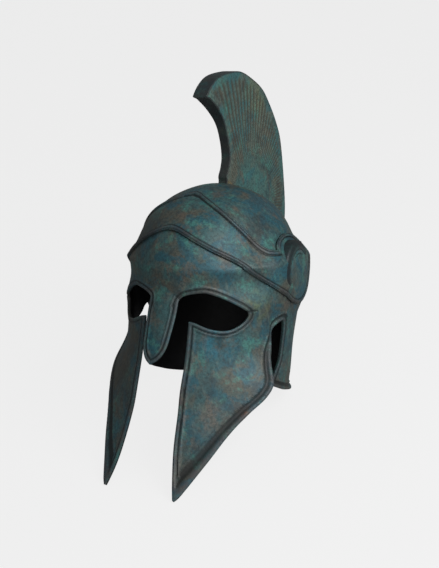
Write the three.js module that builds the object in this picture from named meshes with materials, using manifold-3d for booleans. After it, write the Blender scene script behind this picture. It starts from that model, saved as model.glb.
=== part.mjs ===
// A Corinthian helmet cast in bronze: a bowl with nose guard, cheek guards and neck guard in one casting,
// a raised brow band that runs from ear to ear, an ear disc on each side and a tall hollow crest.
// Millimetres, +Z up. The helmet is modelled upright, with the wearer looking along -Y, and then leans
// back until it rests on the tips of both cheek guards and on the rear rim of the neck guard.
import * as THREE from "three";
import { mergeVertices } from "three/addons/utils/BufferGeometryUtils.js";
import Module from "manifold-3d";

const wasm = await Module();
wasm.setup();

// ---- Driving dimensions ----

const wall = 2.5; // the casting
const fit = 0.3; // between neighbouring pieces
const far = 400; // past every face of the helmet

const springHeight = 26; // where the dome of the skull starts
const crownHeight = 119; // top of the skull
const lowest = -262; // below the cheek tips

// Plan of the helmet at each height. The face half holds the forehead, nose and cheeks, the nape half
// holds the back of the skull and the neck guard.
const faceLevels = [
  { height: 26, halfWidth: 108.5, reach: 119.5, power: 2 },
  { height: 6, halfWidth: 107, reach: 117.5, power: 2 },
  { height: -20, halfWidth: 115, reach: 116, power: 2 },
  { height: -44, halfWidth: 113, reach: 117.5, power: 2 },
  { height: -85, halfWidth: 123.5, reach: 129, power: 1.7 },
  { height: -125, halfWidth: 154, reach: 142, power: 1.5 },
  { height: -150, halfWidth: 168, reach: 148, power: 1.5 },
  { height: -186, halfWidth: 185, reach: 162, power: 1.5 },
  { height: -220, halfWidth: 213, reach: 175, power: 1.5 },
  { height: -262, halfWidth: 255, reach: 196, power: 1.5 },
];
const napeLevels = [
  { height: 26, halfWidth: 108.5, reach: 130, power: 2 },
  { height: 6, halfWidth: 108.5, reach: 128, power: 2 },
  { height: -20, halfWidth: 108, reach: 122, power: 2 },
  { height: -44, halfWidth: 106, reach: 113, power: 2 },
  { height: -85, halfWidth: 101.5, reach: 103, power: 2 },
  { height: -125, halfWidth: 99, reach: 98.5, power: 2 },
  { height: -142, halfWidth: 97, reach: 97.5, power: 2 },
  { height: -158, halfWidth: 98.5, reach: 100, power: 2 },
  { height: -262, halfWidth: 98.5, reach: 100, power: 2 },
];
// The dome narrows from its spring, row 1, to the crown, row 0: shares of the half width and the reach.
const domeShares = [
  { row: 0, across: 0, along: 0 },
  { row: 0.2, across: 0.258, along: 0.255 },
  { row: 0.4, across: 0.522, along: 0.527 },
  { row: 0.55, across: 0.668, along: 0.711 },
  { row: 0.7, across: 0.763, along: 0.858 },
  { row: 0.85, across: 0.846, along: 0.958 },
  { row: 1, across: 1, along: 1 },
];
const jawTurn = THREE.MathUtils.degToRad(81); // where the face half gives way to the nape half
const jawBlend = THREE.MathUtils.degToRad(8);

// The nose guard stands forward of the face, with a slightly arched section.
const keelTop = -2;
const keelLean = 0.35; // forward for each millimetre down
const keelArch = 36; // radius of the section
const keelFlank = [23, 31]; // across, where the keel sinks back to the face

const rimLift = 2; // how far the rims stand proud
const cheekRim = 8; // widths of the raised rims
const hemRim = 9;
const eyeRim = 7;
const noseRim = 6.5;
const bandThick = 2;
const beadLift = 1.8;
const beadWidth = 5;
const discRadius = 37;
const bandRing = discRadius + 2 * fit + beadWidth; // radius of the band's ring round an ear disc
const earView = THREE.MathUtils.degToRad(98); // an ear disc's axis, turned from the front
const earAcross = 2.4; // the disc's centre in its own view
const earHeight = 14.5;
const earFace = 115.3; // the disc's face, out along that axis
const crestHalf = 7; // half the crest's thickness
const crestTipHalf = 11;
const tipHeights = [180, 235]; // the crest widens to its tip between these heights
const tipDepths = [-10, 90]; // and between these depths
const crestWall = 2;

const cheekView = THREE.MathUtils.degToRad(35); // turned from the front, square to a cheek guard

// ---- The skin: one smooth surface that every piece is cut from ----

// A column of a table, read at a place between its rows along a smooth curve.
function read(table, key, place, column) {
  const forward = Math.sign(table[1][key] - table[0][key]);
  const last = table.length - 1;
  if ((place - table[0][key]) * forward <= 0) return table[0][column];
  if ((place - table[last][key]) * forward >= 0) return table[last][column];
  let i = 0;
  while ((place - table[i + 1][key]) * forward > 0) i++;
  const slope = (a, b) => (table[b][column] - table[a][column]) / (table[b][key] - table[a][key]);
  const span = table[i + 1][key] - table[i][key];
  const t = (place - table[i][key]) / span;
  const rise = table[i + 1][column] - table[i][column];
  const startSlope = slope(Math.max(i - 1, 0), i + 1) * span;
  const endSlope = slope(i, Math.min(i + 2, last)) * span;
  return (
    table[i][column] +
    t * startSlope +
    t * t * (3 * rise - 2 * startSlope - endSlope) +
    t * t * t * (startSlope + endSlope - 2 * rise)
  );
}

// Row 0 is the crown, row 1 the spring of the dome, row 2 the lowest level. Turn 0 is the front.
function skinPoint(turn, row) {
  const climb = Math.cos(Math.min(row, 1) * (Math.PI / 2)); // share of the dome's rise
  const fall = Math.max(row - 1, 0) * (springHeight - lowest);
  const height = springHeight + (crownHeight - springHeight) * climb - fall;
  const front = Math.cos(turn) > 0;
  const level = (column, table = front ? faceLevels : napeLevels) => read(table, "height", height, column);
  const side = Math.abs(Math.atan2(Math.sin(turn), Math.cos(turn)));
  const toNape = THREE.MathUtils.smoothstep(side, jawTurn - jawBlend, jawTurn + jawBlend);
  const halfWidth = THREE.MathUtils.lerp(level("halfWidth", faceLevels), level("halfWidth", napeLevels), toNape);
  const curve = (value) => Math.sign(value) * Math.abs(value) ** (2 / level("power"));
  const x = halfWidth * read(domeShares, "row", row, "across") * curve(Math.sin(turn));
  const y = -level("reach") * read(domeShares, "row", row, "along") * curve(Math.cos(turn));
  if (!front || height > keelTop) return new THREE.Vector3(x, y, height);
  const keel = keelLean * (height - keelTop) - read(faceLevels, "height", keelTop, "reach") + (x * x) / (2 * keelArch);
  const toFace = THREE.MathUtils.smoothstep(Math.abs(x), ...keelFlank);
  return new THREE.Vector3(x, Math.min(y, THREE.MathUtils.lerp(keel, y, toFace)), height);
}

function skinNormal(turn, row) {
  if (row < 0.02) return new THREE.Vector3(0, 0, 1);
  const step = 0.004;
  const across = skinPoint(turn + step, row).sub(skinPoint(turn - step, row));
  const down = skinPoint(turn, row + step).sub(skinPoint(turn, row - step));
  return across.cross(down).normalize().negate();
}

// A closed body whose side is the skin moved out by lift, with a flat floor.
const turns = 44;
const domeRows = 8;
const sideRows = 12;
function skinBody(lift, extra = 0) {
  const corners = [];
  const faces = [];
  const rows = domeRows + sideRows;
  corners.push(new THREE.Vector3(0, 0, crownHeight + lift));
  for (let r = 1; r <= rows; r++) {
    const row = r <= domeRows ? r / domeRows : 1 + (r - domeRows) / sideRows;
    for (let i = 0; i < turns; i++) {
      const turn = (i / turns) * 2 * Math.PI;
      const point = skinPoint(turn, row).addScaledVector(skinNormal(turn, row), lift);
      if (r === rows) point.z = lowest - extra;
      corners.push(point);
    }
  }
  corners.push(new THREE.Vector3(0, 0, lowest - extra));
  const at = (r, i) => 1 + (r - 1) * turns + (i % turns);
  const foot = corners.length - 1;
  for (let i = 0; i < turns; i++) {
    faces.push(0, at(1, i), at(1, i + 1));
    for (let r = 1; r < rows; r++) {
      const [a, b, c, d] = [at(r, i), at(r + 1, i), at(r + 1, i + 1), at(r, i + 1)];
      faces.push(...(i < turns / 2 ? [a, b, c, a, c, d] : [a, b, d, b, c, d])); // alike on both sides
    }
    faces.push(at(rows, i), foot, at(rows, i + 1));
  }
  const geometry = new THREE.BufferGeometry().setFromPoints(corners);
  geometry.setIndex(faces);
  return solid(geometry);
}

// ---- Solids and outlines ----

function solid(geometry, matrix = new THREE.Matrix4()) {
  const plain = geometry.clone();
  plain.deleteAttribute("normal");
  plain.deleteAttribute("uv");
  plain.applyMatrix4(matrix);
  const merged = mergeVertices(plain, 1e-4);
  return new wasm.Manifold(
    new wasm.Mesh({
      numProp: 3,
      vertProperties: new Float32Array(merged.attributes.position.array),
      triVerts: new Uint32Array(merged.index.array),
    }),
  );
}

function bufferGeometry(manifold) {
  const mesh = manifold.getMesh();
  const geometry = new THREE.BufferGeometry();
  geometry.setAttribute("position", new THREE.BufferAttribute(new Float32Array(mesh.vertProperties), 3));
  geometry.setIndex(new THREE.BufferAttribute(new Uint32Array(mesh.triVerts), 1));
  return geometry;
}

// Points along a smooth curve through the knots, the ends included.
function smooth(knots, pieces) {
  return new THREE.SplineCurve(knots.map((k) => new THREE.Vector2(...k))).getPoints(pieces);
}

// How far a point is from a closed outline.
function distanceTo(outline, point) {
  const segment = new THREE.Line3();
  const nearest = new THREE.Vector3();
  const probe = new THREE.Vector3(point.x, point.y, 0);
  let least = Infinity;
  outline.forEach((p, i) => {
    const q = outline[(i + 1) % outline.length];
    segment.start.set(p.x, p.y, 0);
    segment.end.set(q.x, q.y, 0);
    segment.closestPointToPoint(probe, true, nearest);
    least = Math.min(least, nearest.distanceTo(probe));
  });
  return least;
}

// A closed outline moved out by a distance, or in by a negative one. Points that a sharp corner folds
// over each other are left out.
function grown(outline, distance) {
  if (distance === 0) return outline;
  const n = outline.length;
  const spin = Math.sign(THREE.ShapeUtils.area(outline));
  const moved = outline.map((p, i) => {
    const along = outline[(i + 1) % n].clone().sub(outline[(i + n - 1) % n]).normalize();
    return new THREE.Vector2(p.x + along.y * spin * distance, p.y - along.x * spin * distance);
  });
  return moved.filter((p) => distanceTo(outline, p) > 0.97 * Math.abs(distance));
}

// A prism of an outline drawn as (across, height), pushed along a level direction. View 0 is the front
// view, PI / 2 the view of the left side; a negative view is the same on the right, mirrored.
function prism(outline, view, from, to) {
  const mirror = view < 0 ? -1 : 1;
  const shape = new THREE.Shape(outline.map((p) => new THREE.Vector2(p.x * mirror, p.y)));
  const geometry = new THREE.ExtrudeGeometry(shape, { depth: to - from, bevelEnabled: false });
  geometry.translate(0, 0, from);
  const across = new THREE.Vector3(Math.cos(view), Math.sin(view), 0);
  const up = new THREE.Vector3(0, 0, 1);
  return solid(geometry, new THREE.Matrix4().makeBasis(across, up, across.clone().cross(up)));
}

function box(sizeX, sizeY, sizeZ, x, y, z) {
  return solid(new THREE.BoxGeometry(sizeX, sizeY, sizeZ).translate(x, y, z));
}

function half(side) {
  return box(far, 2 * far, 2 * far, (side * far) / 2, 0, 0);
}

// ---- Openings ----

const eyeOutline = smooth(
  [
    [-62, -46],
    [-53.5, -24],
    [-48, -12],
    [-41, -6.5],
    [-28, -3.2],
    [-14, -3],
    [8, -11],
    [30, -23],
    [36, -30],
    [30, -39.5],
    [16, -47.5],
    [2, -49],
    [-14, -46],
    [-31, -39.3],
    [-40, -38.5],
    [-50, -40],
  ],
  42,
);

// Half of the gap between the cheek guards, seen from the front.
const cheekEdge = smooth(
  [
    [33, -37],
    [33.5, -85],
    [33.5, -130],
    [37.5, -184],
    [45, -225],
    [57, -262],
  ],
  14,
);
const faceGapOutline = [...cheekEdge, new THREE.Vector2(57, -300), new THREE.Vector2(-57, -300)].concat(
  cheekEdge.map((p) => new THREE.Vector2(-p.x, p.y)).reverse(),
);

// Half of the nose guard, seen from the front.
const noseEdge = smooth(
  [
    [20.5, -14],
    [20.5, -30],
    [19, -52],
    [16.5, -70],
    [10, -82],
    [0, -89],
  ],
  14,
);
const noseOutline = noseEdge.concat(
  noseEdge
    .slice(0, -1)
    .map((p) => new THREE.Vector2(-p.x, p.y))
    .reverse(),
);

// Everything below the lower edges, seen from the left side.
const cheekHem = smooth(
  [
    [-10, -46],
    [-24, -51],
    [-34, -61],
    [-43, -77],
    [-50, -97],
    [-57, -116],
    [-70, -131],
    [-92, -149],
    [-116, -174],
    [-160, -228.5],
    [-173, -244],
    [-180, -249],
    [-200, -250],
  ],
  33,
);
const napeHem = smooth(
  [
    [160, -156],
    [103, -156],
    [60, -155],
    [20, -146.5],
    [-10, -135.5],
    [-19, -129],
    [-14, -115],
    [-6, -95],
    [-5, -60],
    [-8, -48],
  ],
  20,
);
const hemOutline = [...cheekHem, new THREE.Vector2(-200, -330), new THREE.Vector2(160, -330), ...napeHem];

const sides = [1, -1];
// The space cut out of the bowl, with share 0, or that space and all its rims, with share 1.
function openings(share) {
  const rimmed = (outline, width) => grown(outline, share * width);
  let cut = prism(rimmed(faceGapOutline, cheekRim), 0, 0, far);
  cut = cut.add(prism(rimmed(hemOutline, hemRim), Math.PI / 2, -far, far));
  for (const side of sides) {
    const eye = prism(rimmed(eyeOutline, eyeRim), side * cheekView, 0, far).intersect(half(side));
    cut = cut.add(eye);
  }
  return cut.subtract(prism(rimmed(noseOutline, -noseRim), 0, 0, far));
}

// ---- Bowl: skull, nose guard, cheek guards and neck guard with their raised rims ----

// Where the helmet touches the ground, in (depth, height): the cheek tips and the rear rim.
const frontFoot = new THREE.Vector2(-178, -247.6);
const rearFoot = new THREE.Vector2(100, -155.2);
const leanBack = -rearFoot.clone().sub(frontFoot).angle();

// The ground in the upright frame: it trims the three feet to small flats.
function ground() {
  const slab = new THREE.BoxGeometry(2 * far, 2 * far, far).translate(0, 0, -far / 2);
  const tilt = new THREE.Matrix4().makeRotationX(-leanBack).setPosition(0, frontFoot.x, frontFoot.y);
  return solid(slab, tilt);
}

const bowl = skinBody(0)
  .add(skinBody(rimLift).intersect(openings(1)))
  .subtract(skinBody(-wall, 5))
  .subtract(openings(0))
  .subtract(ground());

// ---- Brow band: a broad strip with a bead along each edge, widened to a ring round each ear disc ----

const bandTop = smooth(
  [
    [-80, 128],
    [-24.5, 111.5],
    [-15.4, 107],
    [8.7, 90],
    [32.7, 68],
    [53.6, 46],
    [66, 39.5],
    [82, 38.5],
    [104, 40],
  ],
  15,
);
const bandFoot = smooth(
  [
    [104, -20],
    [84, -16.5],
    [63.5, -0.8],
    [25.5, 28.5],
    [-10.8, 47.2],
    [-40.7, 63.6],
    [-50, 68.2],
    [-57.5, 69.6],
    [-80, 69.6],
  ],
  15,
);
const bandOutline = [...bandTop, ...bandFoot];
const ringPieces = 24;

function circle(radius, across, height, pieces) {
  return Array.from({ length: pieces }, (_, i) => {
    const angle = (i / pieces) * 2 * Math.PI;
    return new THREE.Vector2(across + radius * Math.cos(angle), height + radius * Math.sin(angle));
  });
}

function bandZone(inset) {
  let zone = null;
  for (const side of sides) {
    const strip = prism(grown(bandOutline, -inset), side * cheekView, 0, far).intersect(half(side));
    const ring = prism(circle(bandRing - inset, earAcross, earHeight, ringPieces), side * earView, 0, far);
    zone = zone ? zone.add(strip) : strip;
    zone = zone.add(ring);
  }
  return zone;
}

const band = skinBody(fit + bandThick)
  .intersect(bandZone(0))
  .add(skinBody(fit + bandThick + beadLift).intersect(bandZone(0).subtract(bandZone(beadWidth))))
  .subtract(skinBody(fit));

// ---- Ear discs: turned bosses with concentric rings ----

const discProfile = [
  { radius: 0, height: -13 },
  { radius: discRadius, height: -13 },
  { radius: discRadius, height: -2 },
  { radius: 35, height: 0 },
  { radius: 31, height: 0 },
  { radius: 29, height: -2 },
  { radius: 23, height: -2 },
  { radius: 21.5, height: -0.5 },
  { radius: 18, height: -0.5 },
  { radius: 16.5, height: -2 },
  { radius: 10, height: -2 },
  { radius: 7, height: 0 },
  { radius: 0, height: 1 },
];

function earDisc(side) {
  const profile = discProfile.map((ring) => new THREE.Vector2(ring.radius, ring.height));
  const turned = new THREE.LatheGeometry(profile, ringPieces).rotateZ(-Math.PI / 2);
  const tilt = earView - Math.PI / 2;
  const matrix = new THREE.Matrix4()
    .makeRotationZ(side > 0 ? tilt : Math.PI - tilt)
    .setPosition(
      side * (earFace * Math.cos(tilt) - earAcross * Math.sin(tilt)),
      earFace * Math.sin(tilt) + earAcross * Math.cos(tilt),
      earHeight,
    );
  return solid(turned, matrix).subtract(skinBody(2 * fit + bandThick));
}

// ---- Crest: a hollow fan that stands on the crown and runs down the back of the skull ----

const crestFront = smooth(
  [
    [12, 100],
    [15.5, 119],
    [15, 127],
    [20, 138],
    [22.4, 152],
    [18.5, 172],
    [8, 196],
    [-10, 214.5],
    [-29, 227],
  ],
  16,
);
const crestBack = smooth(
  [
    [-38, 229.6],
    [-28, 242],
    [-11, 253.5],
    [12.5, 259.2],
    [42, 261],
    [69, 254.5],
    [102, 239],
    [123, 218],
    [143.5, 189.5],
    [156, 160.5],
    [167, 97],
    [169, 58],
    [163, 15],
    [148, -25],
    [115, -58],
  ],
  36,
);
const crestOutline = [...crestFront, ...crestBack, new THREE.Vector2(60, 0)];

function crestBody(inset) {
  const outline = inset ? grown(crestOutline, -inset) : crestOutline;
  const geometry = new THREE.ExtrudeGeometry(new THREE.Shape(outline), { depth: 2, bevelEnabled: false });
  geometry.translate(0, 0, -1);
  const stand = new THREE.Matrix4().makeBasis(
    new THREE.Vector3(0, 1, 0),
    new THREE.Vector3(0, 0, 1),
    new THREE.Vector3(1, 0, 0),
  );
  geometry.applyMatrix4(stand);
  const position = geometry.getAttribute("position");
  for (let i = 0; i < position.count; i++) {
    const y = position.getY(i);
    const z = position.getZ(i);
    const toTip = THREE.MathUtils.smoothstep(z, ...tipHeights) * (1 - THREE.MathUtils.smoothstep(y, ...tipDepths));
    const halfThick = THREE.MathUtils.lerp(crestHalf, crestTipHalf, toTip) - inset;
    position.setX(i, Math.sign(position.getX(i)) * halfThick);
  }
  return solid(geometry);
}
const crest = crestBody(0).subtract(crestBody(crestWall)).subtract(skinBody(fit));

// ---- Assembly ----

const upright = new THREE.Group();
function place(name, shape, color, roughness) {
  const bronze = new THREE.MeshStandardMaterial({ color, roughness, metalness: 0.6 });
  const piece = new THREE.Mesh(bufferGeometry(shape), bronze);
  piece.name = name;
  upright.add(piece);
}
place("helmet_bowl", bowl, "#4c5f60", 0.55);
place("brow_band", band, "#5a6460", 0.5);
place("ear_disc_left", earDisc(1), "#4a6a6b", 0.5);
place("ear_disc_right", earDisc(-1), "#4a6a6b", 0.5);
place("crest", crest, "#647873", 0.6);

// Rest pose: leaning back on its three feet, with the origin under the middle of its bounding box.
upright.rotation.x = leanBack;
const helmet = new THREE.Group();
helmet.add(upright);
const bounds = new THREE.Box3().setFromObject(helmet, true);
const middle = bounds.getCenter(new THREE.Vector3());
upright.position.set(-middle.x, -middle.y, -bounds.min.z);

export default helmet;
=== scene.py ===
"""A Corinthian helmet in aged bronze, on its own three feet: bowl, brow band, ear discs and crest."""

import math

import bmesh
import bpy
import numpy as np
from mathutils import Matrix, Vector


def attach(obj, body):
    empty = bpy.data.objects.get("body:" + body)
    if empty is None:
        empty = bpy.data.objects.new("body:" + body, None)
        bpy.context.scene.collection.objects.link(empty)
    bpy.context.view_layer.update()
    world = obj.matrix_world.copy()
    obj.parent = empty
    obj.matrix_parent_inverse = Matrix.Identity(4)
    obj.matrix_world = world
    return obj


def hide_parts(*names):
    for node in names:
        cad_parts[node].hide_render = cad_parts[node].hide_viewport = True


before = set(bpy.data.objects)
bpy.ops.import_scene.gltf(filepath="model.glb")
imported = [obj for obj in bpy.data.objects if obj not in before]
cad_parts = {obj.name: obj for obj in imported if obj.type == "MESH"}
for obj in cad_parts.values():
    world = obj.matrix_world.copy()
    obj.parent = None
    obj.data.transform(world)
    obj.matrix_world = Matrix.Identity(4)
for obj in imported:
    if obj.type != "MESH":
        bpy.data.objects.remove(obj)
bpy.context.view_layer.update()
mm = 0.001

# ---- Bowl ----
# One bronze casting: skull, nose guard, both cheek guards and neck guard, with a raised rim round every edge.
# It is drawn upright, looking along -Y, and leans back onto the cheek tips and the neck guard's rear rim.

wall = 2.5  # the casting
spring_height = 26  # where the dome of the skull starts
crown_height = 119
lowest = -262
front_foot = (-178, -247.6)  # (depth, height) of the cheek tips
rear_foot = (100, -155.2)  # and of the rear rim
lean_back = math.atan2(rear_foot[1] - front_foot[1], rear_foot[0] - front_foot[0])
middle_at_rest = (0, 23.9, 179.2)  # where the upright helmet's origin stands at rest
upright = Matrix.Translation(middle_at_rest) @ Matrix.Rotation(-lean_back, 4, "X")

# Plan of the helmet at each height, from the bottom up: height, half width, reach, power of the curve.
face_levels = np.array([
    (-262, 255, 196, 1.5),
    (-220, 213, 175, 1.5),
    (-186, 185, 162, 1.5),
    (-150, 168, 148, 1.5),
    (-125, 154, 142, 1.5),
    (-85, 123.5, 129, 1.7),
    (-44, 113, 117.5, 2),
    (-20, 115, 116, 2),
    (6, 107, 117.5, 2),
    (26, 108.5, 119.5, 2),
])
nape_levels = np.array([
    (-262, 98.5, 100, 2),
    (-158, 98.5, 100, 2),
    (-142, 97, 97.5, 2),
    (-125, 99, 98.5, 2),
    (-85, 101.5, 103, 2),
    (-44, 106, 113, 2),
    (-20, 108, 122, 2),
    (6, 108.5, 128, 2),
    (26, 108.5, 130, 2),
])
half_width, reach, power = 1, 2, 3  # columns
# The dome from the crown, row 0, to its spring, row 1: row, share of the half width, share of the reach.
dome_shares = np.array([
    (0, 0, 0),
    (0.2, 0.258, 0.255),
    (0.4, 0.522, 0.527),
    (0.55, 0.668, 0.711),
    (0.7, 0.763, 0.858),
    (0.85, 0.846, 0.958),
    (1, 1, 1),
])
across_share, along_share = 1, 2
jaw_turn, jaw_blend = math.radians(71), math.radians(5)  # where the face gives way to the nape
keel_top, keel_lean, keel_arch = -2, 0.35, 36  # the nose guard stands forward, with an arched section
keel_flank = (23, 31)


def smoothstep(value, low, high):
    share = np.clip((value - low) / (high - low), 0, 1)
    return share * share * (3 - 2 * share)


def read(table, place, column):
    """A column of a table, read at places between its rows along a smooth curve."""
    key = table[:, 0]
    value = table[:, column]
    place = np.clip(place, key[0], key[-1])
    i = np.clip(np.searchsorted(key, place, side="right") - 1, 0, len(key) - 2)
    before = np.maximum(i - 1, 0)
    after = np.minimum(i + 2, len(key) - 1)
    span = key[i + 1] - key[i]
    t = (place - key[i]) / span
    rise = value[i + 1] - value[i]
    start = (value[i + 1] - value[before]) / (key[i + 1] - key[before]) * span
    end = (value[after] - value[i]) / (key[after] - key[i]) * span
    return value[i] + t * start + t**2 * (3 * rise - 2 * start - end) + t**3 * (start + end - 2 * rise)


def skin_point(turn, row):
    """The bowl's outer skin: row 0 is the crown, 1 the spring, 2 the lowest level; turn 0 is the front."""
    climb = np.cos(np.minimum(row, 1) * math.pi / 2)
    fall = np.maximum(row - 1, 0) * (spring_height - lowest)
    height = spring_height + (crown_height - spring_height) * climb - fall
    front = np.cos(turn) > 0
    side = np.abs(np.arctan2(np.sin(turn), np.cos(turn)))
    to_nape = smoothstep(side, jaw_turn - jaw_blend, jaw_turn + jaw_blend)
    face_width, nape_width = read(face_levels, height, half_width), read(nape_levels, height, half_width)
    width = face_width * (1 - to_nape) + nape_width * to_nape
    depth = np.where(front, read(face_levels, height, reach), read(nape_levels, height, reach))
    curve = 2 / np.where(front, read(face_levels, height, power), read(nape_levels, height, power))
    x = width * read(dome_shares, row, across_share) * np.sign(np.sin(turn)) * np.abs(np.sin(turn)) ** curve
    y = -depth * read(dome_shares, row, along_share) * np.sign(np.cos(turn)) * np.abs(np.cos(turn)) ** curve
    keel = keel_lean * (height - keel_top) - read(face_levels, keel_top, reach) + x * x / (2 * keel_arch)
    to_face = smoothstep(np.abs(x), *keel_flank)
    nose = np.minimum(y, keel + (y - keel) * to_face)
    return np.stack([x, np.where(front & (height <= keel_top), nose, y), height], axis=-1)


def skin_normal(turn, row):
    step = 0.004
    row = np.maximum(row, 2 * step)
    across = skin_point(turn + step, row) - skin_point(turn - step, row)
    down = skin_point(turn, row + step) - skin_point(turn, row - step)
    normal = np.cross(down, across)
    return normal / np.linalg.norm(normal, axis=-1, keepdims=True)


def smooth_line(knots, pieces):
    """Points along a smooth curve through the knots."""
    knots = np.array(knots, float)
    place = np.linspace(0, len(knots) - 1, pieces + 1)
    i = np.minimum(place.astype(int), len(knots) - 2)
    t = (place - i)[:, None]
    p0, p1, p2 = knots[np.maximum(i - 1, 0)], knots[i], knots[i + 1]
    p3 = knots[np.minimum(i + 2, len(knots) - 1)]
    start, end = (p2 - p0) / 2, (p3 - p1) / 2
    return p1 + t * start + t**2 * (3 * (p2 - p1) - 2 * start - end) + t**3 * (start + end - 2 * (p2 - p1))


def away_from(outline, spots):
    """Distance from a closed outline: positive outside it, negative inside."""
    least = np.full(len(spots), np.inf)
    inside = np.zeros(len(spots), bool)
    for p, q in zip(outline, np.roll(outline, -1, axis=0)):
        edge = q - p
        length = edge @ edge
        if length == 0:
            continue
        share = np.clip((spots - p) @ edge / length, 0, 1)
        least = np.minimum(least, np.linalg.norm(spots - p - share[:, None] * edge, axis=1))
        if edge[1] != 0:
            spans = (p[1] > spots[:, 1]) != (q[1] > spots[:, 1])
            inside ^= spans & (spots[:, 0] < p[0] + edge[0] * (spots[:, 1] - p[1]) / edge[1])
    return np.where(inside, -least, least)


def seen(points, view):
    """Points as (across, height) in a level view, and their depth towards it, as if all on the left."""
    x, y = np.abs(points[:, 0]), points[:, 1]
    across = x * math.cos(view) + y * math.sin(view)
    return np.stack([across, points[:, 2]], axis=-1), x * math.sin(view) - y * math.cos(view)


front_view, side_view = 0, math.pi / 2
cheek_view = math.radians(35)  # square to a cheek guard
behind = 999  # farther than any width on the helmet

eye_outline = smooth_line([
    (-62, -46), (-53.5, -24), (-48, -12), (-41, -6.5), (-28, -3.2), (-14, -3), (8, -11), (30, -23),
    (36, -30), (30, -39.5), (16, -47.5), (2, -49), (-14, -46), (-31, -39.3), (-40, -38.5), (-50, -40),
], 90)
cheek_edge = smooth_line([(33, -37), (33.5, -85), (33.5, -130), (37.5, -184), (45, -225), (57, -262)], 30)
face_gap = np.concatenate([cheek_edge, [(57, -300), (-57, -300)], (cheek_edge * (-1, 1))[::-1]])
nose_edge = smooth_line([(20.5, -14), (20.5, -30), (19, -52), (16.5, -70), (10, -82), (0, -89)], 30)
nose_outline = np.concatenate([nose_edge, (nose_edge * (-1, 1))[-2::-1]])
cheek_hem = smooth_line([
    (-10, -46), (-24, -51), (-34, -61), (-43, -77), (-50, -97), (-57, -116), (-70, -131),
    (-92, -149), (-116, -174), (-160, -228.5), (-173, -244), (-180, -249), (-200, -250),
], 80)
nape_hem = smooth_line([
    (160, -156), (103, -156), (60, -155), (20, -146.5), (-10, -135.5), (-19, -129), (-14, -115),
    (-6, -95), (-5, -60), (-8, -48),
], 60)
hem_outline = np.concatenate([cheek_hem, [(-200, -330), (160, -330)], nape_hem])


def from_face_opening(points):
    """Distance on the metal from the edge of the eye holes and of the gap between nose and cheek guards."""
    spots, depth = seen(points, front_view)
    gap = np.where(depth > 0, away_from(face_gap, spots), behind)
    nose = np.where(depth > 0, away_from(nose_outline, spots), behind)
    spots, depth = seen(points, cheek_view)
    eye = np.where(depth > 0, away_from(eye_outline, spots), behind)
    return np.maximum(np.minimum(gap, eye), -nose)


def from_hem(points):
    """Distance from the lower edge of the cheek guards and the neck guard."""
    return away_from(hem_outline, seen(points, side_view)[0])


def above_ground(points):
    slope = (rear_foot[1] - front_foot[1]) / (rear_foot[0] - front_foot[0])
    return (points[:, 2] - front_foot[1] - slope * (points[:, 1] - front_foot[0])) * math.cos(lean_back)


def bowl_metal(points):
    return np.minimum(np.minimum(from_face_opening(points), from_hem(points)), above_ground(points))


halvings = 12  # steps that find the edge of the metal along a line


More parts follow.
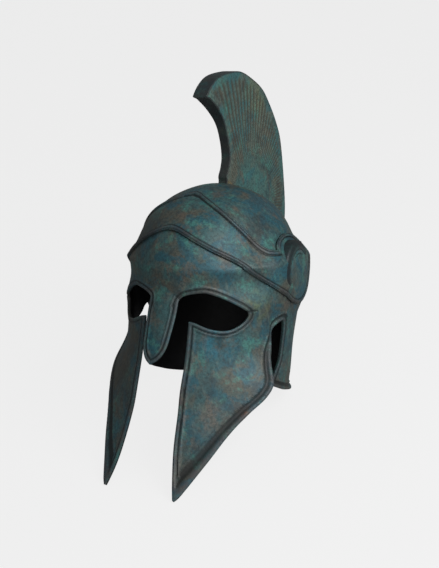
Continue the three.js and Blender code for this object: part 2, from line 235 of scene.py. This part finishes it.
def cut_sheet(surface, metal, cells, split, near, closed):
    """Triangles over a surface of two shares, fine near the edge of the metal and cut off there.

    Cells counts the coarse cells each way. Those between the two distances near the edge are split further.
    """
    across, down = cells
    i, j = np.meshgrid(np.arange(across + 1), np.arange(down + 1), indexing="ij")
    clear = metal(surface(i.ravel() / across, j.ravel() / down)).reshape(i.shape)
    corners = np.stack([clear[:-1, :-1], clear[1:, :-1], clear[1:, 1:], clear[:-1, 1:]])
    kept = corners.max(axis=0) > -near[0]
    fine = kept & (corners.min(axis=0) < near[1])
    spots, faces = {}, []

    def spot(a, b):
        key = (a % (across * split) if closed else a, b)
        return spots.setdefault(key, len(spots))

    def is_fine(a, b):
        a = a % across if closed else a
        return 0 <= a < across and 0 <= b < down and fine[a, b]

    for a, b in zip(*np.nonzero(kept)):
        left, top = a * split, b * split
        if fine[a, b]:
            for u in range(left, left + split):
                for v in range(top, top + split):
                    faces.append((spot(u, v), spot(u, v + 1), spot(u + 1, v + 1)))
                    faces.append((spot(u, v), spot(u + 1, v + 1), spot(u + 1, v)))
            continue
        ring = []
        sides = [((a - 1, b), (0, 1)), ((a, b + 1), (1, 0)), ((a + 1, b), (0, -1)), ((a, b - 1), (-1, 0))]
        starts = [(0, 0), (0, split), (split, split), (split, 0)]
        for (neighbour, (du, dv)), (u, v) in zip(sides, starts):
            steps = range(split) if is_fine(*neighbour) else (0,)
            ring += [spot(left + u + du * k, top + v + dv * k) for k in steps]
        if len(ring) == 4:
            faces += [(ring[0], ring[1], ring[2]), (ring[0], ring[2], ring[3])]
        else:
            hub = spot(left + split // 2, top + split // 2)
            faces += [(hub, p, q) for p, q in zip(ring, ring[1:] + ring[:1])]
    place = np.array(list(spots), float) / (across * split, down * split)
    faces = np.array(faces)

    # The nearer end of every line that crosses the edge of the metal is moved onto the edge.
    clear = metal(surface(*place.T))
    lines = np.unique(np.sort(np.concatenate([faces[:, :2], faces[:, 1:], faces[:, ::2]]), axis=1), axis=0)
    lines = lines[clear[lines[:, 0]] * clear[lines[:, 1]] < 0]
    drift = place[lines[:, 1]] - place[lines[:, 0]]
    drift[:, 0] -= np.round(drift[:, 0]) if closed else 0
    low, high = np.zeros(len(lines)), np.ones(len(lines))
    for _ in range(halvings):
        middle = (low + high) / 2
        same = metal(surface(*(place[lines[:, 0]] + middle[:, None] * drift).T)) * clear[lines[:, 0]] > 0
        low, high = np.where(same, middle, low), np.where(same, high, middle)
    first = low < 0.5
    mover = np.where(first, lines[:, 0], lines[:, 1])
    move = np.where(first[:, None], low[:, None] * drift, (low - 1)[:, None] * drift)
    order = np.argsort(-np.where(first, low, 1 - low))
    moved = place.copy()
    moved[mover[order]] = place[mover[order]] + move[order]
    clear = metal(surface(*moved.T))
    clear[mover] = 0
    whole = (clear[faces] >= 0).all(axis=1)
    faces = faces[whole]
    corner = moved[faces]
    if closed:
        corner[:, 1:, 0] -= np.round(corner[:, 1:, 0] - corner[:, :1, 0])
    flat = (clear[faces] == 0).all(axis=1)
    faces = faces[~flat | (metal(surface(*corner.mean(axis=1).T)) > 0)]
    used, faces = np.unique(faces, return_inverse=True)
    return moved[used].T, faces.reshape(-1, 3)


weld = 0.01  # points nearer than this are one
smooth_angle = math.radians(40)


def closed_wall(name, outer, inner, faces, notes):
    """A closed piece between two sheets of the same faces. Notes are numbers kept at each point of both."""
    count = len(outer)
    directed = np.concatenate([faces[:, [0, 1]], faces[:, [1, 2]], faces[:, [2, 0]]])
    known = set(map(tuple, directed.tolist()))
    border = np.array([(a, b) for a, b in directed.tolist() if (b, a) not in known])
    first, second = border.T
    joined = [
        faces,
        faces[:, ::-1] + count,
        np.stack([second, first, first + count], axis=1),
        np.stack([second, first + count, second + count], axis=1),
    ]
    mesh = bpy.data.meshes.new(name)
    points = np.concatenate([outer, inner])
    points = np.array([tuple(upright @ Vector(p)) for p in points])
    points[:, 2] = np.maximum(points[:, 2], 0)
    mesh.from_pydata((points * mm).tolist(), [], np.concatenate(joined).tolist())
    for note, values in notes.items():
        attribute = mesh.attributes.new(note, "FLOAT", "POINT")
        attribute.data.foreach_set("value", np.concatenate(values).astype(np.float32))
    piece = bpy.data.objects.new(name, mesh)
    bpy.context.scene.collection.objects.link(piece)
    shape = bmesh.new()
    shape.from_mesh(mesh)
    bmesh.ops.remove_doubles(shape, verts=shape.verts, dist=weld * mm)
    bmesh.ops.recalc_face_normals(shape, faces=shape.faces)
    shape.to_mesh(mesh)
    shape.free()
    bpy.ops.object.select_all(action="DESELECT")
    bpy.context.view_layer.objects.active = piece
    piece.select_set(True)
    bpy.ops.object.shade_smooth_by_angle(angle=smooth_angle)
    return piece


# Relief of the rims: distance in from the edge, lift above the skin.
face_rim = np.array([
    (0, 0.9), (0.8, 1.7), (1.8, 1.9), (3, 1.7), (4.2, 0.2), (5.4, 0.2), (6.6, 1.2), (7.6, 1), (9, 0),
])
hem_rim = np.array([
    (0, 1.1), (0.8, 1.9), (1.8, 2), (3.2, 1.6), (4.2, 0.1), (5.5, -0.6), (7, -0.6), (8.2, 0), (8.8, 0.9),
    (9.5, 0.9), (10.2, 0.1), (11, 0),
])
# It runs back from the eye's outer corner, in the cheek view.
eye_crease = np.array([(33, -26.5), (40, -25.8), (47, -26.4)])


def skin_at(share_round, share_down):
    turn = share_round * 2 * math.pi
    return skin_point(turn, share_down * 2)


def lifted(place, lift):
    turn, row = place[0] * 2 * math.pi, place[1] * 2
    return skin_point(turn, row) + skin_normal(turn, row) * np.reshape(lift, (-1, 1))


ear_view = math.radians(98)  # an ear disc's axis, turned from the front
ear_centre = np.array([(2.4, 14.5)])  # in its own view
boss_rise, boss_reach = 6, (41, 72)  # the casting swells out towards each ear disc


def ear_boss(points):
    spots, depth = seen(points, ear_view)
    from_ear = np.linalg.norm(spots - ear_centre, axis=1)
    return np.where(depth > 0, boss_rise * (1 - smoothstep(from_ear, *boss_reach)), 0)


skin_cells, split = (172, 104), 4
near_bowl_edge = (5, 12)  # how far outside and inside the edge the cells are split
place, faces = cut_sheet(skin_at, bowl_metal, skin_cells, split, near_bowl_edge, True)
base = skin_at(*place)
to_face, to_hem = from_face_opening(base), from_hem(base)
hem_share = smoothstep(to_face - to_hem, -0.8, 0.8)
lift = np.interp(to_face, *face_rim.T) * (1 - hem_share) + np.interp(to_hem, *hem_rim.T) * hem_share
spots, depth = seen(base, cheek_view)
from_crease = np.where(depth > 0, away_from(np.concatenate([eye_crease, eye_crease[::-1]]), spots), behind)
lift = lift - 0.8 * (1 - smoothstep(from_crease, 0.3, 1.6))
edge = np.minimum(to_face, to_hem)
ridge = np.clip(lift / 2, 0, 1)
# Painted shade: the hollows in the rims and the eye crease are marked to be painted near black.
painted_shade = np.clip(1 - smoothstep(np.abs(to_hem - 6), 1.5, 3), 0, 1) * hem_share
painted_shade = np.maximum(painted_shade, (1 - smoothstep(np.abs(to_face - 4.8), 0.6, 1.6)) * (1 - hem_share))
painted_shade = np.maximum(painted_shade, 1 - smoothstep(from_crease, 0.5, 1.8))
plain = np.zeros(len(base))
# The inner sheet is marked to be painted near black: painted shade inside the bowl.
bowl = closed_wall(
    "bowl", lifted(place, lift + ear_boss(base)), lifted(place, -wall + 0 * lift), faces,
    {"ridge": (ridge, plain), "painted_shade": (painted_shade, plain), "inside": (plain, plain + 1)},
)
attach(bowl, "root")
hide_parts("helmet_bowl")

# ---- Brow band ----
# A broad strip over the bowl from ear to ear, with a bead along each edge and a ring round each ear disc.

fit = 0.3
band_thick = 2
disc_radius = 37
ring_radius = disc_radius + 2 * fit + 5
band_top = smooth_line([
    (-80, 128), (-24.5, 111.5), (-15.4, 107), (8.7, 90), (32.7, 68), (53.6, 46), (66, 39.5), (82, 38.5),
    (104, 40),
], 48)
band_foot = smooth_line([
    (104, -20), (84, -16.5), (63.5, -0.8), (25.5, 28.5), (-10.8, 47.2), (-40.7, 63.6), (-50, 68.2),
    (-57.5, 69.6), (-80, 69.6),
], 48)
band_outline = np.concatenate([band_top, band_foot])


def band_metal(points):
    spots, depth = seen(points, cheek_view)
    strip = np.where(depth > 0, -away_from(band_outline, spots), -behind)
    spots, depth = seen(points, ear_view)
    ring = np.where(depth > 0, ring_radius - np.linalg.norm(spots - ear_centre, axis=1), -behind)
    return np.maximum(strip, ring)


band_bead = np.array([
    (0, 0.2), (0.5, 0.9), (1.1, 1), (1.6, 0.3), (2.1, 0.9), (3, 1.8), (4, 1.8), (4.8, 1), (5.4, -0.5),
    (6, -0.5), (7, 0),
])
near_band_edge = (5, 9)
place, faces = cut_sheet(skin_at, band_metal, skin_cells, split, near_band_edge, True)
base = skin_at(*place)
to_edge = band_metal(base)
lift = np.interp(to_edge, *band_bead.T)
ridge = np.clip(lift / 1.6, 0, 1) * (to_edge < 6)
# Painted shade: the band's outer edge, the notch in its bead and the bead's foot are marked to be painted
# dark.
painted_shade = np.maximum(1 - smoothstep(np.abs(to_edge - 5.6), 0.4, 1.2), 1 - smoothstep(to_edge, 0.2, 0.7))
painted_shade = np.maximum(painted_shade, 1 - smoothstep(np.abs(to_edge - 1.6), 0.2, 0.5))
plain = np.zeros(len(base))
band = closed_wall(
    "brow_band_strip", lifted(place, fit + band_thick + lift + ear_boss(base)), lifted(place, 0.1 + 0 * lift),
    faces, {"ridge": (ridge, plain), "painted_shade": (painted_shade, plain), "inside": (plain, plain)},
)
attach(band, "root")
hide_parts("brow_band")

# ---- Ear discs ----
# A turned bronze boss over each ear, with fine concentric rings round a low button, seated on the band.

ear_face = 115.3
disc_profile = [  # radius, height
    (0, 1), (5, 0.8), (8.5, 0), (10, -0.9), (11.5, -0.1), (13.5, 0), (15, -1.1), (16.5, -0.1), (19, -0.1),
    (20.5, -1.2), (22, -0.2), (24.5, -0.3), (26, -1.4), (27.5, -0.6), (31.5, -1.1), (34.5, -2.3),
    (36.3, -3.8), (37, -5.5), (37, -16), (0, -16),
]
disc_steps = 96
disc_smooth_angle = math.radians(50)
seat_cells, seat_split, seat_foot = (72, 60), 2, -60


def above_seat_foot(points):
    return points[:, 2] - seat_foot


place, faces = cut_sheet(skin_at, above_seat_foot, seat_cells, seat_split, (0, 0), True)
seat = closed_wall("seat", lifted(place, band_thick + 2 * fit), lifted(place, -3 * wall), faces, {})


def ear_disc(name, side):
    bpy.ops.object.select_all(action="DESELECT")
    mesh = bpy.data.meshes.new(name)
    corners = [(radius * mm, 0, height * mm) for radius, height in disc_profile]
    mesh.from_pydata(corners, [(i, i + 1) for i in range(len(corners) - 1)], [])
    disc = bpy.data.objects.new(name, mesh)
    bpy.context.scene.collection.objects.link(disc)
    bpy.context.view_layer.objects.active = disc
    disc.select_set(True)
    bpy.ops.object.mode_set(mode="EDIT")
    bpy.ops.mesh.select_all(action="SELECT")
    bpy.ops.mesh.spin(steps=disc_steps, angle=2 * math.pi, center=(0, 0, 0), axis=(0, 0, 1))
    bpy.ops.mesh.select_all(action="SELECT")
    bpy.ops.mesh.remove_doubles(threshold=weld * mm)
    bpy.ops.mesh.normals_make_consistent(inside=False)
    bpy.ops.object.mode_set(mode="OBJECT")
    # Painted shade: everything below the disc's face, its ring hollows and its side, is marked to be painted
    # dark.
    note = mesh.attributes.new("painted_shade", "FLOAT", "POINT")
    height = np.array([v.co.z for v in mesh.vertices]) / mm
    note.data.foreach_set("value", smoothstep(-height, 0.3, 0.9).astype(np.float32))
    across, up = ear_centre[0]
    out = Vector((side * math.sin(ear_view), -math.cos(ear_view), 0))
    centre = Vector((side * math.cos(ear_view), math.sin(ear_view), 0)) * across + out * ear_face
    centre.z = up
    facing = out.to_track_quat("Z", "Y").to_matrix().to_4x4()
    in_mm, in_metres = Matrix.Scale(1 / mm, 4), Matrix.Scale(mm, 4)
    mesh.transform(in_metres @ upright @ Matrix.Translation(centre) @ facing @ in_mm)
    cut = disc.modifiers.new("seat", "BOOLEAN")
    cut.object = seat
    cut.operation = "DIFFERENCE"
    cut.solver = "EXACT"
    bpy.ops.object.modifier_apply(modifier=cut.name)
    bpy.ops.object.shade_smooth_by_angle(angle=disc_smooth_angle)
    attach(disc, "root")
    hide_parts("ear_disc_left" if side > 0 else "ear_disc_right")
    return disc


discs = [ear_disc("disc_left", 1), ear_disc("disc_right", -1)]
bpy.data.objects.remove(seat)

# ---- Crest ----
# A tall hollow fan of bronze, standing on the crown and running down the back of the skull. Fine rays are
# engraved on both sides, fanning up from its foot.

crest_half, tip_half = 7, 11
tip_heights, tip_depths = (180, 235), (-10, 90)
crest_front = smooth_line([
    (12, 100), (15.5, 119), (15, 127), (20, 138), (22.4, 152), (18.5, 172), (8, 196), (-10, 214.5),
    (-29, 227),
], 40)
crest_back = smooth_line([
    (-38, 229.6), (-28, 242), (-11, 253.5), (12.5, 259.2), (42, 261), (69, 254.5), (102, 239), (123, 218),
    (143.5, 189.5), (156, 160.5), (167, 97), (169, 58), (163, 15), (148, -25), (115, -58),
], 80)
crest_outline = np.concatenate([crest_front, crest_back, [(60, 0)]])
skull_rows = np.linspace(0, 1.5, 60)
skull_front = skin_point(0 * skull_rows, skull_rows)
skull_back = skin_point(math.pi + 0 * skull_rows, skull_rows)
skull_line = np.concatenate([skull_front[::-1], skull_back])[:, 1:]
sunk = 1  # into the bowl's wall
fan_centre = np.array([(78, 84)])
ray_step = math.radians(3.4)
rays_start, rays_end = (45, 75), (6, 14)  # they fade in from the centre, and out towards the edge
ray_depth = 0.9
edge_round, edge_drop = 1.2, 0.7
crest_span = ((-45, 176), (-66, 266))


def crest_at(share_along, share_up):
    (y0, y1), (z0, z1) = crest_span
    return np.stack([y0 + (y1 - y0) * share_along, z1 - (z1 - z0) * share_up], axis=-1)


def crest_metal(spots):
    return np.minimum(-away_from(crest_outline, spots), away_from(skull_line, spots) + sunk)


crest_cells, near_crest_edge = (64, 96), (5, behind)
place, faces = cut_sheet(crest_at, crest_metal, crest_cells, split, near_crest_edge, False)
spots = crest_at(*place)
to_edge = -away_from(crest_outline, spots)
to_tip = smoothstep(spots[:, 1], *tip_heights) * (1 - smoothstep(spots[:, 0], *tip_depths))
from_centre = spots - fan_centre
ray = (1 + np.cos(np.arctan2(from_centre[:, 1], from_centre[:, 0]) * 2 * math.pi / ray_step)) / 2
ray = ray * smoothstep(np.linalg.norm(from_centre, axis=1), *rays_start) * smoothstep(to_edge, *rays_end)
half = crest_half + (tip_half - crest_half) * to_tip
half = half - edge_drop * (1 - smoothstep(to_edge, 0, edge_round)) - ray_depth * ray
sides = [np.stack([sign * half, spots[:, 0], spots[:, 1]], axis=-1) for sign in (1, -1)]
# Along its rim the crest is marked as worn, and darkened further there with painted shade.
edge_mark = 1 - smoothstep(to_edge, 0.8, 2.2)
crest = closed_wall(
    "crest_fan", sides[0], sides[1], faces[:, ::-1],
    {"ridge": (edge_mark, edge_mark), "painted_shade": (0.7 * edge_mark, 0.7 * edge_mark), "ray": (ray, ray)},
)
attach(crest, "root")
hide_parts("crest")

# ---- Aged bronze ----
# Sand-cast bronze with a chemical patina: verdigris in teal and blue over grey-brown metal, rubbed through to
# brown on every ridge. Painted shade darkens the hollows, the steps, the crest's rim, the inside of the bowl
# and the helmet's right side. The surface is satin, finely pitted and a little uneven.


def linear(hex_colour):
    parts = [int(hex_colour[k : k + 2], 16) / 255 for k in (1, 3, 5)]
    return tuple(c / 12.92 if c <= 0.04045 else ((c + 0.055) / 1.055) ** 2.4 for c in parts) + (1,)


def add(nodes, kind, settings=(), links=()):
    """A node with its settings, and what goes into its sockets: a value, or another node's output."""
    node = nodes.new(kind)
    for name, value in dict(settings).items():
        setattr(node, name, value)
    for socket, source in dict(links).items():
        if isinstance(source, bpy.types.NodeSocket):
            nodes.id_data.links.new(source, node.inputs[socket])
        else:
            node.inputs[socket].default_value = source
    return node


def aged_bronze(name, stains_and_shade, base="#3f6264", tint="#235a68", earth="#56584f"):
    """Patinated bronze. Stains and patches of painted shade are (place upright in mm, radius in mm, colour,
    strength).
    """
    material = bpy.data.materials.new(name)
    material.use_nodes = True
    nodes = material.node_tree.nodes
    nodes.clear()
    where = add(nodes, "ShaderNodeTexCoord").outputs["Object"]

    def noise(size, detail=4, rough=0.55, stretch=(1, 1, 1), warp=0.0):
        scaled = add(nodes, "ShaderNodeMapping", links={"Vector": where, "Scale": stretch}).outputs[0]
        settings = {"noise_dimensions": "3D"}
        links = {"Vector": scaled, "Scale": 1 / (size * mm), "Detail": detail, "Roughness": rough}
        return add(nodes, "ShaderNodeTexNoise", settings, {**links, "Distortion": warp}).outputs["Fac"]

    def ramp(source, low, high):
        links = {"Value": source, "From Min": low, "From Max": high}
        return add(nodes, "ShaderNodeMapRange", {"interpolation_type": "SMOOTHSTEP"}, links).outputs[0]

    def times(a, b):
        return add(nodes, "ShaderNodeMath", {"operation": "MULTIPLY"}, {0: a, 1: b}).outputs[0]

    def mix(share, below, above):
        links = {0: share, 6: below, 7: above}
        return add(nodes, "ShaderNodeMix", {"data_type": "RGBA"}, links).outputs[2]

    colour = mix(ramp(noise(60, 5, 0.6, warp=0.6), 0.42, 0.6), linear(base), linear(earth))
    colour = mix(times(ramp(noise(38, 4, 0.6, warp=0.8), 0.48, 0.6), 0.8), colour, linear(tint))
    colour = mix(times(ramp(noise(24, 5, 0.65), 0.52, 0.66), 0.7), colour, linear("#4d8a80"))
    colour = mix(times(ramp(noise(17, 5, 0.7, (1, 1, 0.4)), 0.52, 0.66), 0.6), colour, linear("#6b5f52"))
    colour = mix(times(ramp(noise(30, 6, 0.7, warp=0.5), 0.5, 0.66), 0.6), colour, linear("#2c3d44"))
    for spot, radius, patch_colour, strength in stains_and_shade:
        centre = upright @ Vector(spot) * mm
        links = {0: where, 1: centre}
        apart = add(nodes, "ShaderNodeVectorMath", {"operation": "DISTANCE"}, links).outputs["Value"]
        near = ramp(apart, radius * mm, 0.3 * radius * mm)
        ragged = ramp(noise(radius * 0.7, 5, 0.65), 0.35, 0.6)
        colour = mix(times(times(near, ragged), strength), colour, linear(patch_colour))
    speckle = ramp(noise(3.4, 5, 0.8), 0.44, 0.6)
    colour = mix(times(speckle, 0.5), colour, linear("#1f2d31"))
    streak = ramp(noise(6, 4, 0.7, (1, 1, 0.22)), 0.55, 0.75)
    colour = mix(times(streak, 0.3), colour, linear("#7d8a80"))

    def note(which):
        return add(nodes, "ShaderNodeAttribute", {"attribute_name": which}).outputs["Fac"]

    worn = times(note("ridge"), ramp(noise(9, 4, 0.6), 0.25, 0.6))
    colour = mix(times(worn, 0.75), colour, linear("#454348"))
    colour = mix(times(note("ray"), 0.75), colour, linear("#4a4236"))
    # Painted shade: near black in the hollows, at the steps and along the crest's rim, wherever that mark is
    # set.
    colour = mix(times(note("painted_shade"), 0.85), colour, linear("#15191b"))
    # Painted shade: the whole inside of the casting is near black.
    colour = mix(note("inside"), colour, linear("#131316"))
    links = {"Value": noise(5), "To Min": 0.42, "To Max": 0.62}
    roughness = add(nodes, "ShaderNodeMapRange", links=links).outputs[0]
    links = {"Strength": 0.25, "Distance": 0.4 * mm, "Height": noise(1.8, 3)}
    pits = add(nodes, "ShaderNodeBump", links=links).outputs[0]
    links = {"Strength": 0.35, "Distance": 1 * mm, "Height": noise(16, 3), "Normal": pits}
    dents = add(nodes, "ShaderNodeBump", links=links).outputs[0]
    links = {"Base Color": colour, "Roughness": roughness, "Metallic": 0.25, "Normal": dents}
    shader = add(nodes, "ShaderNodeBsdfPrincipled", links=links)
    add(nodes, "ShaderNodeOutputMaterial", links={"Surface": shader.outputs[0]})
    return material


bowl.data.materials.append(aged_bronze("cast_bronze_bowl", [
    ((70, -100, -65), 30, "#2f7486", 0.8),
    ((100, -60, -20), 26, "#6f7a55", 0.7),
    ((75, -130, -150), 34, "#6e665c", 0.8),
    ((58, -150, -165), 16, "#7a4a33", 0.8),
    ((105, -90, -150), 16, "#7a4a33", 0.7),
    # A dull dark patch over the helmet's right side, away from the key light: painted shade.
    ((-80, -100, -90), 90, "#45443c", 0.8),
]))
# The band's one patch darkens its part on the helmet's right side, away from the key light: painted shade.
band.data.materials.append(aged_bronze("cast_bronze_band", [((-60, -90, 60), 60, "#45443c", 0.7)]))
for disc in discs:
    disc.data.materials.append(aged_bronze("cast_bronze_disc", [], base="#3d6066", earth="#4c5f62"))
crest.data.materials.append(aged_bronze("cast_bronze_crest", [
    ((7, 20, 112), 12, "#8a7434", 0.8),
    ((9, 90, 235), 40, "#7c8664", 0.5),
], base="#4d7470", tint="#3a6f74", earth="#68756a"))

# ---- Studio ----
# A plain pale floor and backdrop, soft light from the helmet's left and front, and the camera.

floor_size = 6
bpy.ops.object.select_all(action="DESELECT")
bpy.ops.mesh.primitive_plane_add(size=floor_size, location=(0, 0, 0))
floor = bpy.context.active_object
floor.name = "floor"
paper = bpy.data.materials.new("white_paper")
paper.use_nodes = True
sheet = paper.node_tree.nodes
sheet.clear()
# To the camera the paper is mostly an even white, under a faint shadow. To the helmet it is plain grey paper.
whiteness = 0.82
matt = add(sheet, "ShaderNodeBsdfDiffuse", links={"Color": linear("#a8a8a8")}).outputs[0]
bright = add(sheet, "ShaderNodeEmission", links={"Strength": 1}).outputs[0]
lens_only = add(sheet, "ShaderNodeLightPath").outputs["Is Camera Ray"]
white = add(sheet, "ShaderNodeMath", {"operation": "MULTIPLY"}, {0: lens_only, 1: whiteness}).outputs[0]
both = add(sheet, "ShaderNodeMixShader", links={0: white, 1: matt, 2: bright}).outputs[0]
add(sheet, "ShaderNodeOutputMaterial", links={"Surface": both})
floor.data.materials.append(paper)

world = bpy.data.worlds.new("studio")
bpy.context.scene.world = world
world.use_nodes = True
sky = world.node_tree
seen_by_lens = add(sky.nodes, "ShaderNodeLightPath").outputs["Is Camera Ray"]
fill_light, backdrop = 0.2, 1
glow = add(
    sky.nodes, "ShaderNodeMapRange", links={"Value": seen_by_lens, "To Min": fill_light, "To Max": backdrop},
)
sky.nodes["Background"].inputs["Color"].default_value = (1, 1, 1, 1)
sky.links.new(glow.outputs[0], sky.nodes["Background"].inputs["Strength"])

camera_turn, camera_rise = math.radians(33), math.radians(11)  # in the upright frame
camera_distance = 1375
camera_aim = (40.6, -54.4, 0)
lens_pixels, frame_pixels = 1100, 568
lamp_aim = Vector((0, 0, 0.2))  # near the middle of the helmet, in metres


def softbox(name, turn, rise, distance, size, watts):
    lamp = bpy.data.lights.new(name, "AREA")
    lamp.size = size
    lamp.energy = watts
    holder = bpy.data.objects.new(name, lamp)
    bpy.context.scene.collection.objects.link(holder)
    way = Vector((math.sin(turn) * math.cos(rise), -math.cos(turn) * math.cos(rise), math.sin(rise)))
    holder.location = way * distance + lamp_aim
    holder.rotation_euler = way.to_track_quat("Z", "Y").to_euler()


softbox("key", math.radians(80), math.radians(35), 1.6, 1.0, 20)
softbox("front", math.radians(30), math.radians(30), 2.0, 1.2, 4)

back = Vector((
    math.sin(camera_turn) * math.cos(camera_rise),
    -math.cos(camera_turn) * math.cos(camera_rise),
    math.sin(camera_rise),
))
right = Vector((math.cos(camera_turn), math.sin(camera_turn), 0))
above = back.cross(right)
place = upright @ (Vector(camera_aim) + back * camera_distance)
turned = upright.to_3x3() @ Matrix((right, above, back)).transposed()
lens = bpy.data.cameras.new("camera")
lens.sensor_width = 36
lens.lens = lens_pixels * lens.sensor_width / frame_pixels
lens.clip_end = 20
camera = bpy.data.objects.new("camera", lens)
bpy.context.scene.collection.objects.link(camera)
camera.matrix_world = Matrix.Translation(place * mm) @ turned.to_4x4()
bpy.context.scene.camera = camera
bpy.context.scene.view_settings.view_transform = "Standard"
